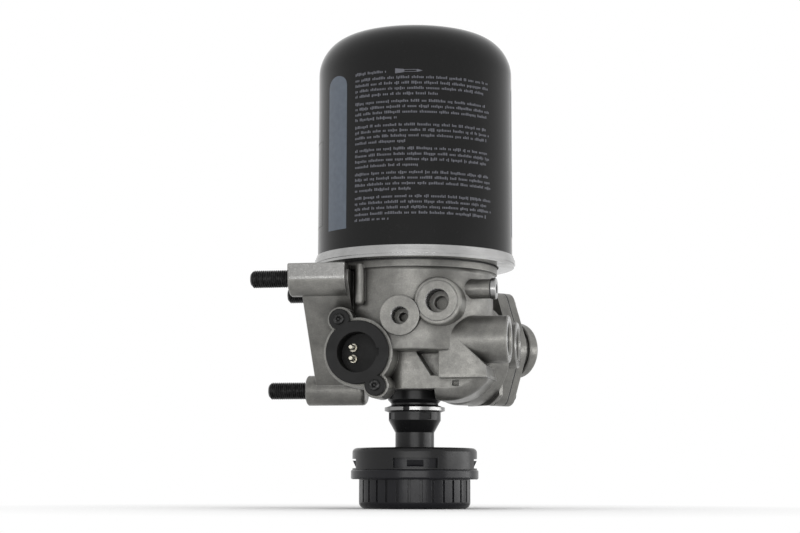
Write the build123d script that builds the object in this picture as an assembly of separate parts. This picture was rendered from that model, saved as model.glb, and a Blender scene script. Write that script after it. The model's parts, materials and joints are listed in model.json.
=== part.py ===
from build123d import *
import os
from math import acos, atan2, cos, hypot, radians, sin, sqrt

# Spin-on compressed-air dryer for a vehicle's air system.
#
# The origin is on the axis of cartridge and silencer, at the silencer's flat underside. +Z points up
# along that axis, the mounting studs point to -X, the heater plug and the two small ports to -Y, the
# two large ports to +X. All sizes are in millimetres and all angles in degrees.

# Fits between pieces
RUNNING_CLEARANCE = 0.05      # radial, moving piece in its bore
LOCATING_CLEARANCE = 0.1      # radial, fixed piece in its hole
SHUT_GAP = 0.08               # a shut valve's seal to its seat
SPRING_GAP = 0.05             # spring end coil to its seat
SNAP_DEPTH = 0.8              # depth of the groove for a snap ring or a round seal
SEAL_HEIGHT = 2.0             # height of the round seals' grooves
HOLE_SPARE = 1.0              # how much deeper a hole is drilled than its screw reaches
CAST_OVERLAP = 2.0            # how far one cast form runs into the next

# Silencer: ribbed cap, band, skirt, neck and collar, from the ground up
CUP_RADIUS, CUP_HEIGHT = 38.4, 20.0
CUP_WALL, CUP_FLOOR = 2.6, 2.5
CUP_CORNER = 4.5
GROOVE_COUNT = 30
GROOVE_WIDTH, GROOVE_DEPTH, GROOVE_STOP = 1.8, 1.2, 0.6
GROOVE_TURN = 6.0             # first groove, degrees past the first window
SLOT_COUNT = 12
SLOT_WIDTH, SLOT_LENGTH, SLOT_CIRCLE = 3.0, 16.0, 20.0
BAND_STEP, BAND_HEIGHT = 5.6, 6.5
BAND_RADIUS = CUP_RADIUS + BAND_STEP
BAND_EDGE = 1.2
SKIRT_INSET, SKIRT_HEIGHT = 1.0, 14.8
SKIRT_RADIUS = BAND_RADIUS - SKIRT_INSET
SKIRT_WALL, SKIRT_TOP = 2.0, 3.0
SKIRT_CORNER = 3.0
RIM_GAP, RIM_WALL, RIM_HEIGHT = 0.3, 2.0, 9.5
RIM_RADIUS = SKIRT_RADIUS - SKIRT_WALL - RIM_GAP
WINDOW_COUNT = 4
WINDOW_SPAN = 41.0            # width of a window as an angle
WINDOW_FACING = -79.0         # direction of the first window from +X
WINDOW_HEIGHT, WINDOW_SILL = 6.5, 1.0
LATCH_WIDTH, LATCH_HEIGHT, LATCH_REACH, LATCH_RISE = 11.0, 4.2, 1.9, 1.0
NECK_RADIUS, NECK_HEIGHT, NECK_WALL = 13.4, 10.7, 3.0
TAPER_HEIGHT = 8.4
COLLAR_RADIUS, COLLAR_HEIGHT = 18.0, 5.6
LIP_RADIUS, LIP_SLOPE = 20.2, 0.9
CLIP_HEIGHT, CLIP_WALL, CLIP_PROUD = 2.4, 1.6, 0.7
CLIP_OPENING = 4.5
CLIP_TURN = -17.0             # the clip's opening, degrees past the first skirt window
THROAT_RADIUS, THROAT_SLOPE = 16.3, 1.6
COLLAR_WINDOW_COUNT = 4
COLLAR_WINDOW_WIDTH, COLLAR_WINDOW_HEIGHT, COLLAR_WINDOW_DEPTH = 9.0, 4.6, 1.2
COLLAR_WINDOW_TURN = 24.0     # first collar window, degrees past the first skirt window
BAFFLE_HOLE_COUNT = 12
BAFFLE_THICKNESS, BAFFLE_HOLE, BAFFLE_CIRCLE = 1.2, 3.0, 26.0

# Purge valve between silencer and housing
THROAT_HEIGHT = 1.2
ADAPTER_RADIUS, ADAPTER_CHAMFER, ADAPTER_HEIGHT = 18.6, 2.5, 5.9
NOZZLE_RADIUS, NOZZLE_LENGTH, NOZZLE_BORE = 14.2, 13.5, 12.2
SPIGOT_RADIUS, SPIGOT_LENGTH = 16.1, 7.5
SEAT_HOLE, SEAT_THICKNESS, SEAT_RISE = 8.5, 3.0, 5.0
PISTON_RADIUS, PISTON_HEIGHT, PISTON_CROWN_GAP = 13.95, 7.0, 2.0
PISTON_GROOVE, PISTON_GROOVE_DEPTH = 2.6, 1.9
STEM_RADIUS, STEM_SHOULDER, STEM_THREAD_RADIUS, STEM_THREAD_PROUD = 4.0, 1.5, 3.0, 1.0
NUT_CLEARANCE = 0.05          # radial, nut on its thread
PURGE_BORE_TOP = 30.5         # height of the piston's bore above the housing's foot
VALVE_PLATE_RADIUS, VALVE_PLATE_HEIGHT = 10.8, 3.0
VALVE_SEAL_RADIUS, VALVE_SEAL_HEIGHT = 11.2, 2.9
VALVE_EDGE = 1.0
PURGE_NUT_FLATS, PURGE_NUT_HEIGHT = 9.8, 3.0
PURGE_SPRING_RADIUS, PURGE_WIRE = 11.2, 1.0
PURGE_COIL_COUNT = 4.5

# Fit between cartridge and housing: the can's seam, its gasket, the flange that it seals on
CAN_RADIUS = 68.0
SEAM_WIDTH, SEAM_GAP = 9.5, 2.0
SEAM_INNER = CAN_RADIUS - SEAM_WIDTH
GASKET_HEIGHT, GASKET_WIDTH, GASKET_INSET = 4.0, 7.5, 0.9
GASKET_OUTER = SEAM_INNER - SEAM_GAP
GASKET_INNER = GASKET_OUTER - GASKET_WIDTH
FLANGE_RADIUS = GASKET_OUTER + GASKET_INSET

# Housing casting
NECK_CAST_RADIUS = 18.8
LEDGE_RISE = 25.0             # foot of the neck to the underside of the barrel
FLANGE_STEP, FLANGE_HEIGHT, FLANGE_FILLET = 2.9, 4.7, 4.0
BARREL_RADIUS = FLANGE_RADIUS - FLANGE_STEP
BARREL_HEIGHT = 55.8
CHANNEL_INNER, CHANNEL_WALL, CHANNEL_DEPTH = 25.0, 9.4, 16.0
CHANNEL_OUTER = FLANGE_RADIUS - CHANNEL_WALL
THREAD_RADIUS, THREAD_HEIGHT = 19.4, 12.0
CAST_EDGE = 1.5

# Mounting studs and the bosses that hold them
STUD_RADIUS, STUD_REACH, STUD_GRIP, STUD_CHAMFER = 6.0, 28.0, 30.0, 1.6
STUD_RELIEF_DEPTH, STUD_RELIEF_INSIDE, STUD_RELIEF_OUTSIDE = 0.9, 0.6, 1.4
MOUNT_FACE_X = -BARREL_RADIUS - 21.5
STUD_SPREAD, UPPER_STUD_Z, LOWER_STUD_Z = 50.0, 155.0, 81.6
UPPER_BOSS_RADIUS, UPPER_BOSS_TOP, UPPER_BOSS_LENGTH = 12.5, 9.0, 39.5
LOWER_BOSS_RADIUS, LOWER_BOSS_LENGTH = 10.5, 42.0
BRACKET_SETBACK, BRACKET_DEPTH, BRACKET_INSET, BRACKET_WALL, POCKET_DEPTH = 8.0, 33.0, 4.0, 4.5, 20.0
SIDE_RIB_OFFSET = 22.0
STEP_RIB_GAP, STEP_RIB_RADIUS, STEP_RIB_LENGTH = 4.8, 3.2, 25.0

# Heater plug on the front
PLUG_X, PLUG_Z = -28.3, 103.8
PLUG_FACE_Y = -BARREL_RADIUS - 1.5
PLUG_BOSS_RADIUS, PLUG_BOSS_LENGTH = 23.4, 46.0
PLUG_FLANGE_RADIUS, PLUG_FLANGE_THICKNESS, PLUG_EDGE = 21.3, 4.0, 0.6
PLUG_BODY_RADIUS, PLUG_BODY_LENGTH = 16.9, 16.0
SOCKET_RADIUS, SOCKET_DEPTH = 13.6, 16.0
KEY_WIDTH, KEY_DEPTH, KEY_LENGTH = 5.0, 1.4, 10.0
EAR_CIRCLE, EAR_RADIUS, EAR_BOSS_RADIUS = 25.3, 7.0, 8.6
EAR_ANGLE = 119.0             # direction of the upper ear from +X
EAR_SCREW_RADIUS, EAR_SCREW_LENGTH = 2.0, 13.0
EAR_HEAD_RADIUS, EAR_HEAD_HEIGHT, EAR_HEAD_ROUND = 3.7, 2.2, 1.0
PIN_SPACING, PIN_OFFSET, PIN_RADIUS, PIN_BASE_RADIUS = 7.5, -5.0, 2.0, 2.6
PIN_BASE_HEIGHT, PIN_HEIGHT, PIN_TIP = 4.0, 12.5, 0.8
PLUG_SEAL_SECTION, PLUG_SEAL_ROOM = 1.6, 0.5
HEATER_RADIUS, HEATER_LENGTH, HEATER_HEAD_RADIUS, HEATER_HEAD_HEIGHT = 6.0, 45.0, 12.0, 3.0

# Small ports on the front: centre X, centre Z, bore radius, bore depth, drilling radius
FRONT_PORT_Y = -BARREL_RADIUS - 3.5
PORT_A = (0.2, 128.2, 6.0, 14.0, 3.0)
PORT_B = (25.6, 137.6, 8.0, 16.0, 4.5)
FRONT_PORT_RING, FRONT_PORT_FACE_DEPTH, PORT_B_BOSS, FRONT_PORT_LENGTH = 13.4, 1.2, 16.2, 24.0
DRILL_LENGTH = 8.0            # of the narrow hole behind a port's thread

# Large ports on the right: centre Y, centre Z, end X
PORT_FRONT = (-28.0, 113.6, BARREL_RADIUS + 15.5)
PORT_REAR = (16.0, 113.0, BARREL_RADIUS + 16.0)
PORT_BOSS_RADIUS, PORT_BOSS_LENGTH, PORT_BORE, PORT_DEPTH = 16.1, 44.5, 10.2, 18.0
PORT_CHAMFER, PORT_DRILL_RADIUS = 1.3, 6.5

# Block, gusset and drum under the barrel's right half
BLOCK_LEFT, BLOCK_RIGHT = 24.2, BARREL_RADIUS + 2.5
BLOCK_FRONT_Y, BLOCK_BACK_Y, BLOCK_FOOT_Z = PORT_FRONT[0] - PORT_BOSS_RADIUS, 5.0, 87.3
BLOCK_STEP, BLOCK_LEAN, BLOCK_HEAD = 8.2, 1.0, 12.2
GUSSET_FRONT_Y, GUSSET_HEAD, GUSSET_TOE, GUSSET_NOTCH, PANEL_Y = -36.0, 6.0, 8.0, 4.7, -20.0
GUSSET_SIDE, GUSSET_ROUND = 14.0, 12.0
BOWL_X, BOWL_Z, BOWL_RADIUS, BOWL_BACK_Y, BOWL_ROUND = 28.0, 106.5, 34.0, 5.0, 9.0
ADAPTER_ROOM = 1.4            # radial, between the bowl and the ring below the neck
BOWL_NOTCH_X, BOWL_NOTCH_Z, BOWL_NOTCH_WIDTH, BOWL_NOTCH_HEIGHT, BOWL_NOTCH_DEPTH = 32.5, 84.0, 8.0, 3.4, 2.5
DRUM_RADIUS, DRUM_Z, DRUM_NEAR, DRUM_FAR, DRUM_ROUND = 36.0, 107.5, 48.0, 24.0, 9.0
RIM_STRIP_RADIUS, RIM_STRIP_WIDTH, RIM_STRIP_FROM, RIM_STRIP_TO = 38.6, 3.2, -8.0, 25.0

# Governor on the rear right, on its own slanting axis
GOVERNOR_ANGLE = 50.0         # direction of the axis from +X
GOVERNOR_REACH = BARREL_RADIUS + 14.7    # from the dryer's axis out to the governor's joint face
GOVERNOR_SIDE, GOVERNOR_Z = -12.4, 112.5
LUG_REACH, LUG_RADIUS, PAD_RADIUS, PAD_THICKNESS, PAD_STALK = 32.5, 8.0, 20.0, 9.0, 28.0
GASKET_THICKNESS, COVER_FLANGE, COVER_NECK_RADIUS, COVER_NECK = 1.0, 6.0, 17.0, 4.0
COVER_RADIUS, COVER_DEPTH, COVER_ROUND, COVER_EDGE, COVER_WALL = 19.7, 9.0, 3.5, 1.0, 4.0
GOVERNOR_BORE, GOVERNOR_BORE_DEPTH, GOVERNOR_DRILL = 10.05, 11.0, 4.0
GOVERNOR_PISTON_LENGTH, PISTON_CUP_DEPTH, PISTON_CUP_GAP = 10.0, 2.0, 0.5
SPRING_CHAMBER = 11.5
GOVERNOR_SPRING_RADIUS, GOVERNOR_WIRE = 7.6, 0.9
GOVERNOR_COIL_COUNT = 4.0
SPRING_SEAT_RADIUS, SPRING_SEAT_THICKNESS = 10.6, 2.0
ADJUSTER_RADIUS, LOCK_NUT_FLATS, LOCK_NUT_HEIGHT, ADJUSTER_PROUD = 4.0, 13.0, 3.5, 1.5
ADJUSTER_SLOT_WIDTH, ADJUSTER_SLOT_DEPTH = 1.2, 1.0
COVER_SCREW_RADIUS, COVER_SCREW_GRIP, COVER_HEAD_RADIUS, COVER_HEAD_HEIGHT = 2.5, 7.0, 4.4, 4.0
COVER_RECESS_RADIUS, COVER_RECESS_DEPTH = 2.4, 2.2

# Blanking plug on the right flank
SIDE_PLUG_Y, SIDE_PLUG_Z, SIDE_BOSS_END_X, SIDE_BOSS_RADIUS = -30.0, 147.8, BARREL_RADIUS + 3.0, 6.6
SIDE_PLUG_HEAD, SIDE_PLUG_THICKNESS, SIDE_PLUG_SHANK, SIDE_PLUG_GRIP = 7.3, 3.4, 4.0, 10.0
SIDE_PLUG_FLATS, SIDE_PLUG_RECESS, SIDE_PLUG_EDGE = 6.0, 2.0, 0.6
SIDE_SEAL_THICKNESS = 0.8

# Check valve in the threaded spigot
CHECK_BORE, CHECK_FLOOR_DEPTH = 13.0, 59.0
CHECK_SEAT_DEPTH, CHECK_SEAT_HEIGHT, CHECK_SEAT_HOLE = 22.0, 6.0, 8.5
CHECK_CLIP_HEIGHT, CHECK_CLIP_INNER, CHECK_CLIP_GAP = 1.4, 10.0, 5.0
CHECK_DISC_RADIUS, CHECK_DISC_HEIGHT, CHECK_STEM_RADIUS, CHECK_STEM_LENGTH = 11.0, 4.0, 3.0, 21.0
CHECK_GUIDE_HEIGHT, CHECK_GUIDE_HUB, CHECK_GUIDE_HUB_HEIGHT = 4.0, 5.0, 6.0
CHECK_SPRING_RADIUS, CHECK_WIRE = 7.4, 0.7
CHECK_COIL_COUNT = 5.0

# Spin-on cartridge
CAN_WALL, CAN_HEIGHT = 1.0, 164.0
CAN_SHOULDER, CAN_CROWN = 27.0, 9.0
CROWN_BEND, CROWN_DROP = 0.45, 0.22      # where the crown steepens: share of the radius, share of the crown
SEAM_LOWER = 0.6
SEAM_STEPS = ((1.2, 1.9), (2.0, 2.5), (1.3, 1.6), (0.7, 1.6))   # reach past the can and height of each step
INLET_COUNT = 10
BASE_PLATE, INLET_HOLE, INLET_CIRCLE = 5.0, 4.0, 38.0
HUB_SEAL_INNER, HUB_SEAL_OUTER = 20.4, 24.0
BASKET_ANNULUS, BASKET_WALL, BASKET_RISE, BASKET_HEADROOM = 11.0, 1.5, 9.0, 18.0
BASKET_RADIUS = CAN_RADIUS - BASKET_ANNULUS
BASKET_HEIGHT = CAN_HEIGHT - BASE_PLATE - BASKET_RISE - BASKET_HEADROOM
BASKET_HUB_RADIUS, BASKET_HUB_WALL = 25.0, 2.0
BASKET_HOLE_COUNT = 8
BASKET_HOLE, BASKET_CIRCLE = 3.0, 14.0
PLATE_HOLE_COUNT = 12
PRESSURE_PLATE, PLATE_HOLE, PLATE_CIRCLE = 2.0, 3.0, 38.0
CHARGE_HEADROOM = 8.0
FILTER_GAP, FILTER_HEIGHT = 0.4, 45.0
TOP_SPRING_RADIUS, TOP_WIRE, TOP_SPRING_GAP = 22.0, 1.5, 0.3
TOP_COIL_COUNT = 2.5

# Levels that follow from the sizes above
BAND_Z = CUP_HEIGHT
SKIRT_Z = BAND_Z + BAND_HEIGHT
DISC_Z = SKIRT_Z + SKIRT_HEIGHT
TAPER_Z = DISC_Z + NECK_HEIGHT
COLLAR_Z = TAPER_Z + TAPER_HEIGHT
CLIP_Z = COLLAR_Z + COLLAR_HEIGHT + LIP_SLOPE
THROAT_Z = CLIP_Z + CLIP_HEIGHT + THROAT_SLOPE
ADAPTER_Z = THROAT_Z + THROAT_HEIGHT + ADAPTER_CHAMFER
FOOT_Z = ADAPTER_Z + ADAPTER_HEIGHT
LEDGE_Z = FOOT_Z + LEDGE_RISE
FLANGE_Z = LEDGE_Z + BARREL_HEIGHT
TOP_Z = FLANGE_Z + FLANGE_HEIGHT
PLATE_Z = TOP_Z + GASKET_HEIGHT
THREAD_TOP_Z = TOP_Z + THREAD_HEIGHT
CHECK_SEAT_Z = THREAD_TOP_Z - CHECK_SEAT_DEPTH - CHECK_SEAT_HEIGHT
CHECK_FLOOR_Z = THREAD_TOP_Z - CHECK_FLOOR_DEPTH
PURGE_BORE_Z = FOOT_Z + SPIGOT_LENGTH
PURGE_ROOF_Z = FOOT_Z + PURGE_BORE_TOP
SEAT_Z = FOOT_Z - ADAPTER_HEIGHT - ADAPTER_CHAMFER - THROAT_HEIGHT + SEAT_RISE
PISTON_Z = PURGE_ROOF_Z - PISTON_CROWN_GAP - PISTON_HEIGHT
BASKET_Z = PLATE_Z + BASE_PLATE + BASKET_RISE
CAN_TOP_Z = PLATE_Z + CAN_HEIGHT

BASE = (Align.CENTER, Align.CENTER, Align.MIN)
NODES = {}


def rod(radius, length):
    """A cylinder that stands on the local XY plane."""
    return Cylinder(radius, length, align=BASE)


def bore(radius, depth):
    """A cylinder that hangs below the local XY plane, for cutting a hole from a face."""
    return Pos(0, 0, -depth) * rod(radius, depth)


def ring(outer, inner, height):
    return rod(outer, height) - rod(inner, height)


def outline(*points):
    return make_face(Polyline(*points, close=True))


def soften(face, points, radius):
    """Rounds those corners of a flat outline that lie nearest to the given points."""
    corners = [face.vertices().sort_by_distance(Vector(x, y, 0))[0] for x, y in points]
    return fillet(corners, radius)


def turned(face):
    """Turns an outline, drawn as radius and height, about the Z axis."""
    return revolve(Plane.XZ * face, Axis.Z)


def strap(start, start_radius, end, end_radius):
    """Two discs joined by their common tangents."""
    dx, dy = end[0] - start[0], end[1] - start[1]
    heading = atan2(dy, dx)
    spread = acos((start_radius - end_radius) / hypot(dx, dy))
    points = []
    for centre, radius, side in ((start, start_radius, 1), (end, end_radius, 1),
                                 (end, end_radius, -1), (start, start_radius, -1)):
        angle = heading + side * spread
        points.append((centre[0] + radius * cos(angle), centre[1] + radius * sin(angle)))
    discs = Pos(*start) * Circle(start_radius) + Pos(*end) * Circle(end_radius)
    return outline(*points) + discs


def hexagon(flats, height):
    return extrude(RegularPolygon(flats / sqrt(3), 6), height)


def coil(radius, wire, height, turns):
    """A helical spring that stands on the local XY plane and keeps a small gap to both seats."""
    rise = height - 2 * wire - 2 * SPRING_GAP
    path = Helix(pitch=rise / turns, height=rise, radius=radius)
    section = Plane(origin=path @ 0, z_dir=path % 0) * Circle(wire)
    return Pos(0, 0, wire + SPRING_GAP) * sweep(section, path=path)


def around(count, radius, shape, start=0.0):
    """Copies of a shape, evenly spaced on a circle about Z."""
    return [Rot(0, 0, start + 360 * i / count) * Pos(radius, 0, 0) * shape for i in range(count)]


def keep(name, *solids):
    """Files the solids of one sub-part under its name."""
    NODES[name] = solids


# Local frames: Z leaves the object, Y points up
FRONT = lambda x, z, y=PLUG_FACE_Y: Plane(origin=(x, y, z), x_dir=(1, 0, 0), z_dir=(0, -1, 0))
RIGHT = lambda y, z, x: Plane(origin=(x, y, z), x_dir=(0, 1, 0), z_dir=(1, 0, 0))
MOUNT = Plane(origin=(MOUNT_FACE_X, 0, 0), x_dir=(0, -1, 0), z_dir=(-1, 0, 0))
PLUG = FRONT(PLUG_X, PLUG_Z)
OUTWARD = Vector(cos(radians(GOVERNOR_ANGLE)), sin(radians(GOVERNOR_ANGLE)), 0)
SIDEWAYS = Vector(-OUTWARD.Y, OUTWARD.X, 0)
GOVERNOR = Plane(origin=GOVERNOR_REACH * OUTWARD + GOVERNOR_SIDE * SIDEWAYS + Vector(0, 0, GOVERNOR_Z),
                 x_dir=SIDEWAYS, z_dir=OUTWARD)
STUD_CENTRES = [(STUD_SPREAD, UPPER_STUD_Z), (-STUD_SPREAD, UPPER_STUD_Z), (0.0, LOWER_STUD_Z)]
EAR_CENTRES = [(EAR_CIRCLE * cos(radians(a)), EAR_CIRCLE * sin(radians(a)))
               for a in (EAR_ANGLE, EAR_ANGLE + 180)]
LUG_CENTRES = [(0, LUG_REACH), (0, -LUG_REACH)]


def cast_barrel():
    """The round upper body with the flange that the cartridge seals on."""
    face = outline((0, LEDGE_Z), (BARREL_RADIUS, LEDGE_Z), (BARREL_RADIUS, FLANGE_Z),
                   (FLANGE_RADIUS, FLANGE_Z), (FLANGE_RADIUS, TOP_Z), (0, TOP_Z))
    face = soften(face, [(BARREL_RADIUS, FLANGE_Z)], min(FLANGE_FILLET, FLANGE_STEP * 0.9))
    face = soften(face, [(BARREL_RADIUS, LEDGE_Z)], CAST_EDGE)
    return turned(face)


def cast_bracket():
    """The wedge-shaped mounting bracket: three stud bosses, joined by a wall that is open to the rear."""
    def web(trim):
        left, right, low = STUD_CENTRES
        upper, lower = UPPER_BOSS_RADIUS - trim, LOWER_BOSS_RADIUS - trim
        face = (strap(left, upper, right, upper) + strap(left, upper, low, lower)
                + strap(right, upper, low, lower) + outline(left, right, low))
        above = Pos(0, UPPER_STUD_Z + UPPER_BOSS_TOP - trim + UPPER_BOSS_RADIUS) * Rectangle(
            4 * STUD_SPREAD, 2 * UPPER_BOSS_RADIUS)
        return face - above

    wedge = extrude(web(BRACKET_INSET), BRACKET_DEPTH)
    pocket = extrude(web(BRACKET_INSET + BRACKET_WALL), POCKET_DEPTH)
    wedge -= Pos(0, 0, BRACKET_DEPTH - POCKET_DEPTH) * pocket
    rib_height = UPPER_STUD_Z + UPPER_BOSS_TOP - LOWER_STUD_Z
    for x in (-SIDE_RIB_OFFSET, 0, SIDE_RIB_OFFSET):
        rib = Box(BRACKET_WALL, rib_height, BRACKET_DEPTH, align=(Align.CENTER, Align.MIN, Align.MIN))
        wedge += Pos(x, LOWER_STUD_Z, 0) * rib & extrude(web(BRACKET_INSET + BRACKET_WALL / 2), BRACKET_DEPTH)
    bracket = Pos(0, 0, -BRACKET_SETBACK - BRACKET_DEPTH) * wedge

    u_width = 2 * UPPER_BOSS_RADIUS
    u_shape = Circle(UPPER_BOSS_RADIUS) + Pos(0, UPPER_BOSS_TOP / 2) * Rectangle(u_width, UPPER_BOSS_TOP)
    u_shape -= Pos(0, UPPER_BOSS_TOP + UPPER_BOSS_RADIUS) * Rectangle(2 * u_width, u_width)
    upper = Pos(0, 0, -UPPER_BOSS_LENGTH) * extrude(u_shape, UPPER_BOSS_LENGTH)
    upper = chamfer(upper.faces().sort_by(Axis.Z)[-1].edges(), CAST_EDGE / 2)
    lower = bore(LOWER_BOSS_RADIUS, LOWER_BOSS_LENGTH)
    lower = fillet(lower.edges().group_by(Axis.Z)[0], CAST_EDGE * 2)
    lower = chamfer(lower.edges().group_by(Axis.Z)[-1], CAST_EDGE / 2)
    for x, y in STUD_CENTRES[:2]:
        bracket += Pos(x, y, 0) * upper
    bracket += Pos(*STUD_CENTRES[2], 0) * lower
    return MOUNT * bracket


def cast_front():
    """Boss of the heater plug, the two small port bosses and the upright rib beside the stud boss."""
    boss = bore(PLUG_BOSS_RADIUS, PLUG_BOSS_LENGTH)
    for x, y in EAR_CENTRES:
        boss += Pos(x, y, 0) * bore(EAR_BOSS_RADIUS, PLUG_BOSS_LENGTH / 2)
    front = PLUG * boss
    for x, z, *_ in (PORT_A, PORT_B):
        front += FRONT(x, z, FRONT_PORT_Y) * bore(FRONT_PORT_RING, FRONT_PORT_LENGTH)
    shoulder = FRONT(PORT_B[0], PORT_B[1], FRONT_PORT_Y + FRONT_PORT_FACE_DEPTH)
    front += shoulder * fillet(bore(PORT_B_BOSS, FRONT_PORT_LENGTH).edges().group_by(Axis.Z)[-1], CAST_EDGE)
    rib_x = MOUNT_FACE_X + UPPER_BOSS_LENGTH + STEP_RIB_GAP + STEP_RIB_RADIUS
    rib_y = -STUD_SPREAD
    rib = rod(STEP_RIB_RADIUS, STEP_RIB_LENGTH) + Sphere(STEP_RIB_RADIUS)
    align = (Align.CENTER, Align.MIN, Align.MIN)
    rib += Box(2 * STEP_RIB_RADIUS, STUD_SPREAD / 2, STEP_RIB_LENGTH, align=align)
    return front + Pos(rib_x, rib_y, UPPER_STUD_Z + UPPER_BOSS_TOP - STEP_RIB_LENGTH) * rib


def cast_bowl():
    """The rounded bowl under the block, flush with the gusset and clear of the ring below the neck."""
    depth = BOWL_BACK_Y - GUSSET_FRONT_Y
    disc = fillet(bore(BOWL_RADIUS, depth).edges().group_by(Axis.Z)[-1], BOWL_ROUND)
    bowl = FRONT(BOWL_X, BOWL_Z, GUSSET_FRONT_Y) * disc
    roof = Box(4 * BOWL_RADIUS, 4 * depth, 2 * BOWL_RADIUS, align=BASE)
    bowl -= Pos(BOWL_X, 0, BLOCK_FOOT_Z + CAST_OVERLAP) * roof
    room = ADAPTER_RADIUS + ADAPTER_ROOM
    slot = bore(room, BOWL_RADIUS) + Pos(0, 0, -BOWL_RADIUS) * Box(
        2 * room, 2 * depth, BOWL_RADIUS, align=(Align.CENTER, Align.MAX, Align.MIN))
    bowl -= Pos(0, 0, FOOT_Z) * slot
    notch = Box(BOWL_NOTCH_WIDTH, 2 * BOWL_NOTCH_DEPTH, BOWL_NOTCH_HEIGHT)
    return bowl - Pos(BOWL_NOTCH_X, GUSSET_FRONT_Y, BOWL_NOTCH_Z) * notch


def cast_right():
    """Large port bosses, the block and gusset below them, the drum and the governor's pad."""
    neck = Pos(0, 0, FOOT_Z) * rod(NECK_CAST_RADIUS, LEDGE_RISE + CAST_EDGE)
    right = neck
    for y, z, x in (PORT_FRONT, PORT_REAR):
        boss = chamfer(bore(PORT_BOSS_RADIUS, PORT_BOSS_LENGTH).edges().group_by(Axis.Z)[-1], CAST_EDGE / 2)
        right += RIGHT(y, z, x) * boss
    roof = LEDGE_Z + CAST_OVERLAP
    block = outline((BLOCK_LEFT, BLOCK_FOOT_Z), (BLOCK_RIGHT, BLOCK_FOOT_Z),
                    (BLOCK_RIGHT - BLOCK_LEAN, BLOCK_FOOT_Z + BLOCK_STEP),
                    (BLOCK_LEFT + BLOCK_HEAD, PORT_FRONT[1]), (BLOCK_LEFT, PORT_FRONT[1]))
    right += Plane.XZ * Pos(0, 0, -BLOCK_BACK_Y) * extrude(block, BLOCK_BACK_Y - BLOCK_FRONT_Y)
    toe = BLOCK_LEFT + GUSSET_TOE
    gusset = outline((-GUSSET_SIDE, FOOT_Z), (-GUSSET_SIDE, roof), (GUSSET_HEAD, roof),
                     (BLOCK_LEFT - GUSSET_NOTCH, BLOCK_FOOT_Z - BLOCK_LEAN), (toe, BLOCK_FOOT_Z - BLOCK_LEAN),
                     (toe, FOOT_Z))
    footprint = outline((-GUSSET_SIDE, 0), (-GUSSET_SIDE, GUSSET_FRONT_Y), (toe, GUSSET_FRONT_Y), (toe, 0))
    footprint = soften(footprint, [(-GUSSET_SIDE, GUSSET_FRONT_Y)], GUSSET_ROUND)
    right += Plane.XZ * extrude(gusset, -GUSSET_FRONT_Y) & Pos(0, 0, FOOT_Z) * extrude(footprint, LEDGE_RISE)
    right += cast_bowl()
    panel = outline((0, FOOT_Z), (0, roof), (toe, roof), (toe, FOOT_Z))
    right += Plane.XZ * extrude(panel, -PANEL_Y)

    shift = DRUM_Z - GOVERNOR_Z
    drum = rod(DRUM_RADIUS, DRUM_NEAR - DRUM_FAR)
    drum = fillet(drum.edges().group_by(Axis.Z)[0], DRUM_ROUND)
    right += GOVERNOR * Pos(0, shift, -DRUM_NEAR) * drum
    strip = Pos(0, shift, -DRUM_FAR) * rod(RIM_STRIP_RADIUS, RIM_STRIP_WIDTH)
    strip_box = Box(RIM_STRIP_TO - RIM_STRIP_FROM, DRUM_RADIUS, 4 * RIM_STRIP_WIDTH,
                    align=(Align.MAX, Align.MAX, Align.CENTER))
    right += GOVERNOR * (strip & Pos(-RIM_STRIP_FROM, shift, -DRUM_FAR) * strip_box)
    pad = extrude(strap(LUG_CENTRES[0], LUG_RADIUS, (0, 0), PAD_RADIUS)
                  + strap((0, 0), PAD_RADIUS, LUG_CENTRES[1], LUG_RADIUS), PAD_THICKNESS)
    right += GOVERNOR * (Pos(0, 0, -PAD_THICKNESS) * pad + bore(PAD_RADIUS - CAST_EDGE, PAD_STALK))
    side_boss = RIGHT(SIDE_PLUG_Y, SIDE_PLUG_Z, SIDE_BOSS_END_X) * bore(SIDE_BOSS_RADIUS, 2 * SIDE_PLUG_GRIP)
    return right + side_boss


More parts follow.
